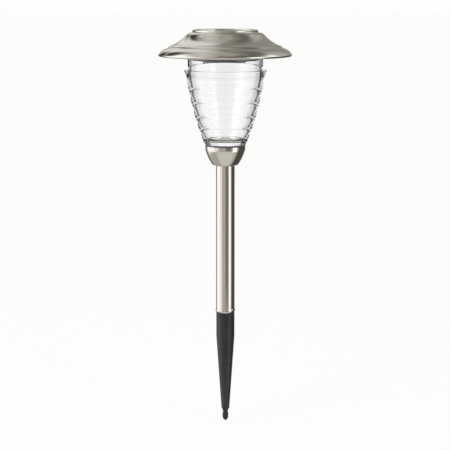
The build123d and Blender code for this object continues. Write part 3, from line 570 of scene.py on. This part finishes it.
# ---------------------------------------------------------------- the ribbed glass
SWELLS = [(23.05, 177.0), (26.9, 187.8), (30.35, 198.9), (33.95, 212.8), (36.85, 226.7)]
WAISTS = [(24.55, 182.4), (28.2, 193.4), (31.8, 205.8), (35.0, 219.8), (37.8, 234.0)]
WALL_LOW, WALL_HIGH = 172.2, 234.0
HOLLOW = ((34.5, 243.2), (29.5, 213.0), (20.0, 180.0))   # an arc down the smooth inner wall
RING_OUT = 0.42                     # level with each swell but the lowest, a ring stands in this far
RING_HALF = 2.3
SEAT_Z = CUP_HIGH.z / MM + 1.5      # the glass's shoulder on the cup's gasket
FLANGE_R = LENS_HIGH.x / MM
FLANGE_TOP = 245.0
NECK_R = 37.4
NECK_BORE_R = 34.5
CLEAR = 0.04                        # mm of air where glass meets another piece
FOOT_R, FOOT_BEVEL = 19.2, 0.4
SEAT_R = 20.2
WALL_FOOT_R = 20.9
WALL_STEPS = 150
FLOOR_R, FLOOR_Z = 16.6, 176.5


def along(stops, z):
    """Radius of a smooth curve through the stops at the height z."""
    i = max(0, min(len(stops) - 2, sum(stop[1] <= z for stop in stops) - 1))
    near = [stops[max(0, min(len(stops) - 1, j))] for j in (i - 1, i, i + 1, i + 2)]
    (r0, z0), (r1, z1), (r2, z2), (r3, z3) = near
    t = (z - z1) / (z2 - z1)
    low = (r2 - r0) / (z2 - z0) * (z2 - z1)
    high = (r3 - r1) / (z3 - z1) * (z2 - z1)
    return ((1 + 2 * t) * (1 - t) ** 2 * r1 + t * (1 - t) ** 2 * low
            + t * t * (3 - 2 * t) * r2 + t * t * (t - 1) * high)


def ring(z):
    """How far a ring stands into the hollow at the height z."""
    near = min(abs(height - z) for _, height in SWELLS[1:])
    return RING_OUT * math.cos(math.pi / 2 * min(1.0, near / RING_HALF)) ** 1.5


def lens_outline():
    """The glass: foot in the cup, wavy cone, flange, neck, and the hollow with its rings."""
    foot = LENS_LOW.z / MM + CLEAR
    top = LENS_HIGH.z / MM - CLEAR
    line = Outline(0, foot).line((FOOT_R - FOOT_BEVEL, foot), (FOOT_R, foot + FOOT_BEVEL))
    line.line((FOOT_R, SEAT_Z), (SEAT_R, SEAT_Z))
    wall = sorted([(WALL_FOOT_R, WALL_LOW)] + SWELLS + WAISTS, key=lambda stop: stop[1])
    for i in range(WALL_STEPS + 1):
        z = WALL_LOW + (WALL_HIGH - WALL_LOW) * i / WALL_STEPS
        line.line((along(wall, z), z))
    line.flow(FLANGE_R - 0.9, FLANGE_TOP - 3.3, 20, heading=(0.12, 1)).corner(1.6)
    line.line((FLANGE_R, FLANGE_TOP - 0.7)).corner(0.5)
    line.line((FLANGE_R, FLANGE_TOP)).corner(0.15)
    line.line((NECK_R, FLANGE_TOP)).corner(0.4).line((NECK_R, top)).corner(0.6)
    line.line((NECK_BORE_R, top)).corner(0.5)
    hollow = Outline(*HOLLOW[0]).arc(HOLLOW[1], HOLLOW[2], 220)
    for r, z in hollow.points:
        line.line((r - ring(z), z))
    line.flow(FLOOR_R, FLOOR_Z, 12, heading=hollow.heading())
    return line.line((0, FLOOR_Z)).soften()


lathe("ribbed_glass", lens_outline(), "lantern", LENS_GLASS, "lens", 28)

# ---------------------------------------------------------------- inside the lamp
LED_LOW, LED_HIGH = (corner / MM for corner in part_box("led"))
ANVIL_Z = LED_LOW.z + 3.2           # rim of the reflector cup, which opens downwards
CUP_TOP = ANVIL_Z + 1.1
POST_HALF = 0.25
POST_TOP = LED_HIGH.z - 0.4

anvil = Outline(0, ANVIL_Z + 0.75).line((0.45, ANVIL_Z + 0.75), (0.85, ANVIL_Z), (1.05, ANVIL_Z))
anvil.line((0.75, CUP_TOP), (0, CUP_TOP))
lathe("led_cup", anvil, "top", NICKEL, segments=48)
die = Outline(0, ANVIL_Z + 0.72).line((0.4, ANVIL_Z + 0.72), (0.7, ANVIL_Z + 0.1))
die.line((0, ANVIL_Z + 0.02))
lathe("led_die", die, "top", PHOSPHOR, segments=32)
bars("led_posts", [
    ((-0.85, -POST_HALF, CUP_TOP), (0.25, POST_HALF, POST_TOP)),
    ((0.95, -POST_HALF, ANVIL_Z + 0.2), (1.6, POST_HALF, POST_TOP)),
], "top", TINNED)

# ---------------------------------------------------------------- cup, tube and spike
CUP_FOOT = CUP_LOW.z / MM
CUP_LIP = CUP_HIGH.z / MM
CUP_FLAT_R = 11.4
CUP_TURN = (13.9, 1.35)             # radius and height above the cup's foot
CUP_SIDE = (20.0, 14.6)
CUP_WALL = (20.33, 17.4)
TUBE_R = 9.5
TUBE_BEAD_R, TUBE_BEAD_H = 10.12, 3.5
TUBE_FOOT_R = TUBE_R + 0.05
SHANK_R = 9.3
SHANK_END = -25.5
TIP_SIDE_R, TIP_SIDE_H = 1.9, 1.5
BULB_TOP, BULB_SIDE, BULB_NECK = (3.0, -112.0), (3.05, -110.6), (2.65, -108.2)
NECK_SIDE, TAPER_END = (2.95, -105.4), (4.05, -103.4)
GROOVES = (-4.9, -3.3, -1.7)
GROOVE_HALF, GROOVE_R = 0.25, 9.12
SPIKE_BEVEL = 0.3
SPIGOT_R, SPIGOT_H = 8.5, 38.0
SPIGOT_BEVEL_R, SPIGOT_BEVEL_Z = 7.6, 36.8
SPIGOT_BORE_R = 6.2
BORE_END, BORE_BOTTOM = (1.6, -60.0), -61.0


def cup_outline():
    """The cup's outside from the tube up to its lip."""
    line = Outline(9.0, CUP_FOOT).line((CUP_FLAT_R, CUP_FOOT))
    for (r, height), steps in ((CUP_TURN, 16), (CUP_SIDE, 24), (CUP_WALL, 8)):
        line.flow(r, CUP_FOOT + height, steps)
    line.line((CUP_WALL[0], CUP_LIP))
    line.points.reverse()
    return line.sheet(SHEET)


def tube_outline():
    """The tube, with the bead that is rolled into its foot."""
    line = Outline(TUBE_R, POLE_HIGH.z / MM).line((TUBE_R, TUBE_BEAD_H))
    line.arc((TUBE_BEAD_R, TUBE_BEAD_H / 2), (TUBE_FOOT_R, 0), 20)
    return line.sheet(SHEET)


def spike_outline():
    """The spike: bulb at the tip, taper, grooved shank, shoulder and hollow spigot."""
    tip = SPIKE_LOW.z / MM
    line = Outline(0, tip).arc((TIP_SIDE_R, tip + TIP_SIDE_H), BULB_TOP, 12)
    line.arc(BULB_SIDE, BULB_NECK, 10).arc(NECK_SIDE, TAPER_END, 10)
    line.line((SHANK_R, SHANK_END))
    for groove in GROOVES:
        line.line((SHANK_R, groove - GROOVE_HALF), (GROOVE_R, groove), (SHANK_R, groove + GROOVE_HALF))
    line.line((SHANK_R, -SPIKE_BEVEL), (SHANK_R - SPIKE_BEVEL, 0), (SPIGOT_R, 0))
    line.line((SPIGOT_R, SPIGOT_BEVEL_Z), (SPIGOT_BEVEL_R, SPIGOT_H), (SPIGOT_BORE_R, SPIGOT_H))
    return line.line(BORE_END, (0, BORE_BOTTOM))


lathe("cup", cup_outline(), "lantern", CUP_STEEL, "base_cup", 40)
lathe("tube", tube_outline(), "post", TUBE_STEEL, "pole", 40)
lathe("ground_spike", spike_outline(), "stake", SPIKE_PLASTIC, "spike", 20)

RIB_IN, RIB_OUT = 7.8, 8.78         # the spigot's four ribs, which grip the tube
RIB_HALF = 0.8
RIB_FROM, RIB_TO = 3.0, 35.0
ribs = []
for near, far in ((RIB_IN, RIB_OUT), (-RIB_OUT, -RIB_IN)):
    ribs.append(((near, -RIB_HALF, RIB_FROM), (far, RIB_HALF, RIB_TO)))
    ribs.append(((-RIB_HALF, near, RIB_FROM), (RIB_HALF, far, RIB_TO)))
bars("spigot_ribs", ribs, "stake", SPIKE_PLASTIC)


# ---------------------------------------------------------------- studio
# Azimuths are in degrees: 0 lies behind the camera, positive to its right, 180 behind the light.
# Heights are sines of the angle above the horizon.
ROOM = 0.55                         # level of the room between the cards
PEAK = 1.6                          # colours are levels over this, which the strength makes good
CARDS = [                           # level, azimuth and half width, lowest and highest, soft edges
    (0.80, 0, 60, -1.2, -0.45, 20, 0.3),      # table in front
    (0.10, 115, 35, -1.0, 0.30, 15, 0.2),     # black flag, right
    (1.15, 180, 28, -0.55, 0.26, 10, 0.25),   # white sheet behind
    (0.35, 180, 32, 0.15, 0.92, 20, 0.2),     # grey wall above the sheet
    (0.95, -158, 14, 0.25, 0.90, 16, 0.2),    # window of light on it, left
    (0.06, -147, 10, -1.0, 0.45, 8, 0.2),     # black flag, left, behind
    (0.08, -137, 10, 0.45, 0.75, 10, 0.2),    # its upper half
    (1.50, -88, 32, -0.45, 0.80, 12, 0.25),   # large soft box, left
    (1.05, -52, 14, -0.30, 0.70, 12, 0.3),    # its fall-off on a white wall
    (1.55, 56, 13, -0.50, 0.75, 10, 0.2),     # strip light, right
    (1.45, 95, 27, 0.42, 0.75, 14, 0.2),      # high soft box, right
    (0.22, 18, 15, -0.30, 0.35, 12, 0.2),     # the dark gap round the camera
    (0.12, 25, 55, 0.80, 0.97, 30, 0.1),      # black flag overhead, towards the camera
    (0.19, 112, 58, 0.79, 0.985, 60, 0.18),   # black flag overhead, right
    (0.75, -100, 45, 0.86, 0.97, 40, 0.08),   # glow of the left box on the ceiling
    (0.48, 0, 360, 0.985, 2.0, 1, 0.02),      # ceiling
]
WARM = 1.45                         # greys below this level turn warm
BEHIND = [                          # what the glass shows to either side, at every height
    (0, 0.90), (102, 0.90), (118, 0.10), (136, 0.05), (147, 0.20), (151, 0.80), (166, 0.86),
    (170, 0.98), (176, 0.98), (180, 0.90),
]


def grey(level):
    """A grey of the studio, slightly warm where it is dark."""
    warm = max(0.0, 1 - level / WARM)
    return (level, level * (1 - warm * 0.05), level * (1 - warm * 0.2), 1)


def build_world():
    """Soft cards in a grey room, a white room with flags behind the glass, white for the camera."""
    world = bpy.data.worlds.new("studio")
    bpy.context.scene.world = world
    world.use_nodes = True
    tree = world.node_tree
    tree.nodes.clear()

    def math_node(operation, *values):
        node = tree.nodes.new("ShaderNodeMath")
        node.operation = operation
        for socket, value in zip(node.inputs, values):
            if isinstance(value, bpy.types.NodeSocket):
                tree.links.new(value, socket)
            else:
                socket.default_value = value
        return node.outputs[0]

    def fade(distance, half, soft):
        """1 inside half the width, 0 outside, over a soft edge."""
        node = tree.nodes.new("ShaderNodeMapRange")
        node.interpolation_type = "SMOOTHSTEP"
        settings = {"From Min": half + soft / 2, "From Max": half - soft / 2, "To Min": 0, "To Max": 1}
        for key, value in settings.items():
            node.inputs[key].default_value = value
        tree.links.new(distance, node.inputs["Value"])
        return node.outputs[0]

    def mix(share, below, above):
        node = tree.nodes.new("ShaderNodeMix")
        node.data_type = "RGBA"
        for socket, value in ((0, share), (6, below), (7, above)):
            if isinstance(value, bpy.types.NodeSocket):
                tree.links.new(value, node.inputs[socket])
            else:
                node.inputs[socket].default_value = value
        return node.outputs[2]

    coords = tree.nodes.new("ShaderNodeTexCoord")
    parts = tree.nodes.new("ShaderNodeSeparateXYZ")
    tree.links.new(coords.outputs["Generated"], parts.inputs[0])
    turned = math_node("ARCTAN2", parts.outputs[0], math_node("MULTIPLY", parts.outputs[1], -1.0))
    azimuth = math_node("DEGREES", turned)
    height = parts.outputs[2]

    room_colour = [c / PEAK for c in grey(ROOM)[:3]] + [1]
    for level, centre, half, low, high, soft, soft_edge in CARDS:
        apart = math_node("WRAP", math_node("SUBTRACT", azimuth, centre), 180.0, -180.0)
        across = fade(math_node("ABSOLUTE", apart), half, soft)
        off = math_node("ABSOLUTE", math_node("SUBTRACT", height, (low + high) / 2))
        up = fade(off, (high - low) / 2, soft_edge)
        colour = [c / PEAK for c in grey(level)[:3]] + [1]
        room_colour = mix(math_node("MULTIPLY", across, up), room_colour, colour)

    glass = tree.nodes.new("ShaderNodeValToRGB")
    tree.links.new(math_node("DIVIDE", math_node("ABSOLUTE", azimuth), 180.0), glass.inputs[0])
    stops = glass.color_ramp.elements
    while len(stops) < len(BEHIND):
        stops.new(1.0)
    for stop, (side, level) in zip(stops, BEHIND):
        stop.position = side / 180
        stop.color = (level / PEAK, level / PEAK, level / PEAK, 1)

    path = tree.nodes.new("ShaderNodeLightPath")
    room_colour = mix(path.outputs["Is Transmission Ray"], room_colour, glass.outputs[0])
    room = tree.nodes.new("ShaderNodeBackground")
    room.inputs["Strength"].default_value = PEAK
    tree.links.new(room_colour, room.inputs["Color"])
    plain = tree.nodes.new("ShaderNodeBackground")
    plain.inputs["Color"].default_value = (0.985, 0.985, 0.985, 1)
    choose = tree.nodes.new("ShaderNodeMixShader")
    tree.links.new(path.outputs["Is Camera Ray"], choose.inputs[0])
    tree.links.new(room.outputs[0], choose.inputs[1])
    tree.links.new(plain.outputs[0], choose.inputs[2])
    out = tree.nodes.new("ShaderNodeOutputWorld")
    tree.links.new(choose.outputs[0], out.inputs["Surface"])


FLOOR_REACH = 30.0                  # metres each way
FLOOR_GAP = 0.0005


def build_floor():
    """A plain pale floor just under the tip, seen only from above and not mirrored."""
    s = Surface("floor", (0.9, 0.9, 0.9), roughness=0.9)
    glow = s.add("ShaderNodeEmission", {"Color": (1, 1, 1, 1), "Strength": 0.93}).outputs[0]
    matt = s.add("ShaderNodeBsdfDiffuse", {"Color": (0.06, 0.06, 0.06, 1)}).outputs[0]
    pale = s.add("ShaderNodeAddShader", {0: glow, 1: matt}).outputs[0]
    gone = s.add("ShaderNodeBsdfTransparent").outputs[0]
    back = s.add("ShaderNodeNewGeometry").outputs["Backfacing"]
    both = s.add("ShaderNodeMixShader", {0: back, 1: pale, 2: gone}).outputs[0]
    s.tree.links.new(both, s.output.inputs["Surface"])
    level = CAD_BOX[0].z - FLOOR_GAP
    mesh = bpy.data.meshes.new("floor")
    signs = ((-1, -1), (1, -1), (1, 1), (-1, 1))
    corners = [(x * FLOOR_REACH, y * FLOOR_REACH, level) for x, y in signs]
    mesh.from_pydata(corners, [], [(0, 1, 2, 3)])
    mesh.materials.append(s.material)
    floor = bpy.data.objects.new("floor", mesh)
    bpy.context.scene.collection.objects.link(floor)
    floor.visible_glossy = False
    floor.visible_transmission = False


def softbox(name, place, size, power):
    """A large soft lamp aimed at the middle of the light, itself unseen."""
    data = bpy.data.lights.new(name, "AREA")
    data.shape = "RECTANGLE"
    data.size, data.size_y = size
    data.energy = power
    lamp = bpy.data.objects.new(name, data)
    bpy.context.scene.collection.objects.link(lamp)
    lamp.location = place
    aim = (CAD_BOX[0] + CAD_BOX[1]) / 2 - Vector(place)
    lamp.rotation_euler = aim.to_track_quat("-Z", "Y").to_euler()
    lamp.visible_camera = False
    lamp.visible_glossy = False


CAMERA_PLACE = (-0.0004, -1.18867, 0.31626)
CAMERA_PITCH = 10.8                 # degrees below the horizon


def build_camera():
    """The photograph's viewpoint: a little above the hat, a long lens, tilted down."""
    data = bpy.data.cameras.new("camera")
    data.lens = 96
    data.sensor_width = 36
    data.clip_start = 0.01
    camera = bpy.data.objects.new("camera", data)
    bpy.context.scene.collection.objects.link(camera)
    camera.location = CAMERA_PLACE
    camera.rotation_euler = (math.radians(90 - CAMERA_PITCH), 0, 0)
    bpy.context.scene.camera = camera


build_world()
build_floor()
softbox("key_left", (-1.1, -0.9, 0.9), (0.9, 0.9), 9)
softbox("fill_right", (1.0, -1.0, 0.5), (0.6, 0.9), 4)
build_camera()
bpy.context.scene.view_settings.view_transform = "Standard"
